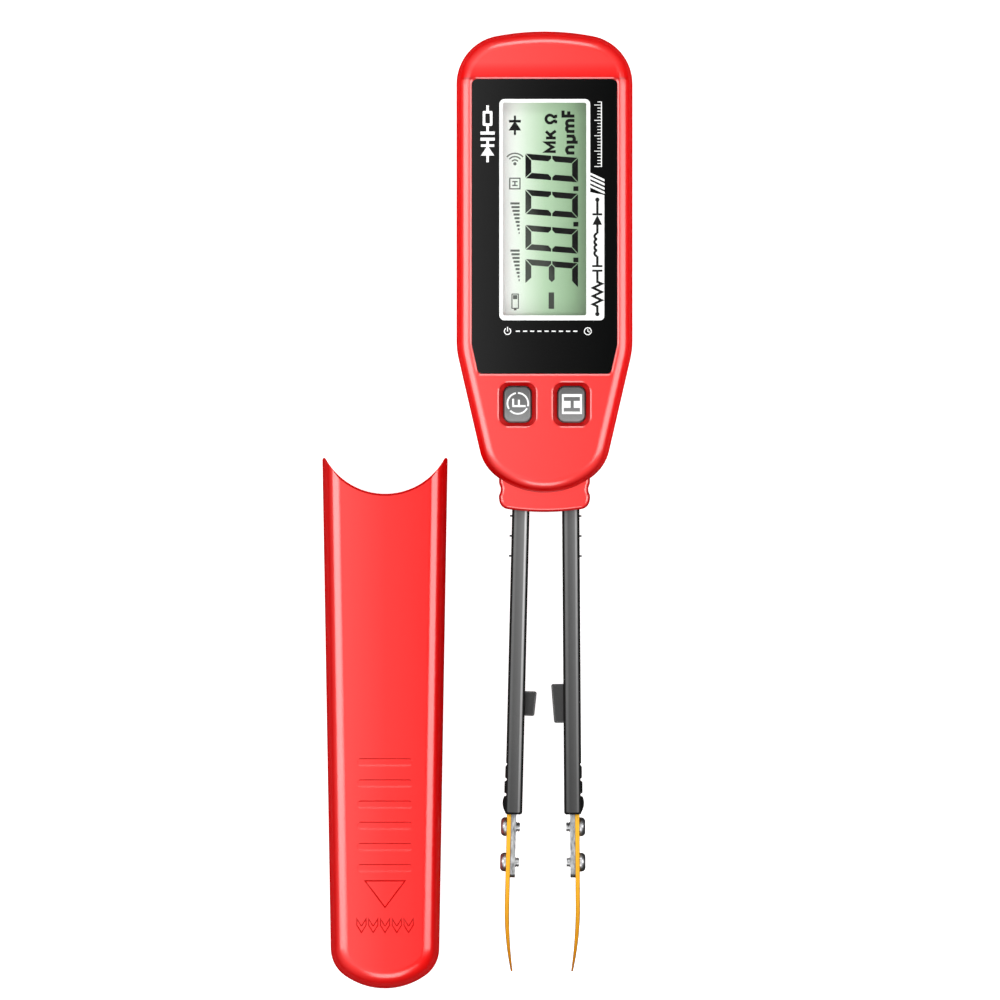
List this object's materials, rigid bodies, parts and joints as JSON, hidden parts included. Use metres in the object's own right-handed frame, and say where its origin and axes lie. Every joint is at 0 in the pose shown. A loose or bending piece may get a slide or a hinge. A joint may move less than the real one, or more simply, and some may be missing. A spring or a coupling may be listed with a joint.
{
  "type": "component tester",
  "caption": "Tweezer-type electronic component tester with a landscape display, two keys, sprung tweezer arms with plated tips, and a slip-on cap lying beside it",
  "frame": {"origin": "Middle of the flat back of the case, which is the face that it lies on", "axes": "+Z out of the display, +Y along the case away from the tips, +X to the right for someone who looks at the display with the tips pointing down"},
  "size_m": [0.0605, 0.1866, 0.018],
  "materials": {
    "red_plastic": "satin-gloss moulded red plastic",
    "panel_black": "gloss black with white printing",
    "clear_lens": "clear polished window",
    "lcd_grey_green": "reflective grey-green liquid-crystal glass",
    "white_plastic": "matt white",
    "black_rubber": "soft conductive rubber",
    "board_green": "solder mask over glass-fibre board",
    "chip_black": "matt black",
    "component_metal": "tinned",
    "zinc_steel": "zinc-plated",
    "cell_steel": "nickel-plated",
    "spring_steel": "bright spring steel",
    "label_silver": "satin silver film",
    "key_grey": "fine satin with white printing",
    "arm_black": "satin black",
    "arm_grey": "satin dark grey",
    "guide_grey": "satin near-black",
    "strip_steel": "brushed",
    "gold_plate": "gold plating",
    "screw_chrome": "bright chrome"
  },
  "bodies": {
    "case": {"back_case": "red_plastic", "back_label": "label_silver", "board_components": "component_metal", "board_screws": "zinc_steel", "buzzer": "chip_black", "case_screws": "zinc_steel", "circuit_board": "board_green", "coin_cell": "cell_steel", "contact_strips": "black_rubber", "display_lens": "clear_lens", "display_panel": "panel_black", "front_case": "red_plastic", "function_switch": "component_metal", "hold_switch": "component_metal", "holder_screws": "zinc_steel", "lcd_glass": "lcd_grey_green", "lcd_holder": "white_plastic", "negative_contact": "spring_steel", "nose_collar": "red_plastic", "positive_contact": "spring_steel", "processor_chip": "chip_black", "spring_holder": "arm_black"},
    "left_arm": {"left_arm_sleeve": "arm_black", "left_back_inlay": "arm_grey", "left_flat_spring": "spring_steel", "left_front_inlay": "arm_grey", "left_guide_tongue": "guide_grey", "left_probe_tip": "gold_plate", "left_steel_strip": "strip_steel", "left_tip_screws": "screw_chrome"},
    "right_arm": {"right_arm_sleeve": "arm_black", "right_back_inlay": "arm_grey", "right_flat_spring": "spring_steel", "right_front_inlay": "arm_grey", "right_guide_socket": "guide_grey", "right_probe_tip": "gold_plate", "right_steel_strip": "strip_steel", "right_tip_screws": "screw_chrome"},
    "function_key": {"function_button": "key_grey", "function_plunger": "chip_black"},
    "hold_key": {"hold_button": "key_grey", "hold_plunger": "chip_black"},
    "door": {"battery_door": "red_plastic"},
    "cap": {"protective_cap": "red_plastic"}
  },
  "joints": [
    {"name": "left_arm_close", "type": "hinge", "parent": "case", "child": "left_arm", "pos_m": [-0.00446, -0.042, 0.009], "axis": [0, 0, 1], "range_deg": [0, 3.38], "stiffness_Nm_per_rad": 1.3, "deforming": ["left_flat_spring"]},
    {"name": "right_arm_close", "type": "hinge", "parent": "case", "child": "right_arm", "pos_m": [0.00507, -0.042, 0.009], "axis": [0, 0, -1], "range_deg": [0, 3.38], "stiffness_Nm_per_rad": 1.3, "deforming": ["right_flat_spring"]},
    {"name": "function_key_press", "type": "slide", "parent": "case", "child": "function_key", "axis": [0, 0, -1], "range_m": [0, 0.0005], "stiffness_N_per_m": 1200},
    {"name": "hold_key_press", "type": "slide", "parent": "case", "child": "hold_key", "axis": [0, 0, -1], "range_m": [0, 0.0005], "stiffness_N_per_m": 1200},
    {"name": "door_slide", "type": "slide", "parent": "case", "child": "door", "axis": [0, 1, 0], "range_m": [0, 0.038]},
    {"name": "cap_slide", "type": "slide", "parent": "case", "child": "cap", "axis": [0, -1, 0], "range_m": [0, 0.105]}
  ]
}
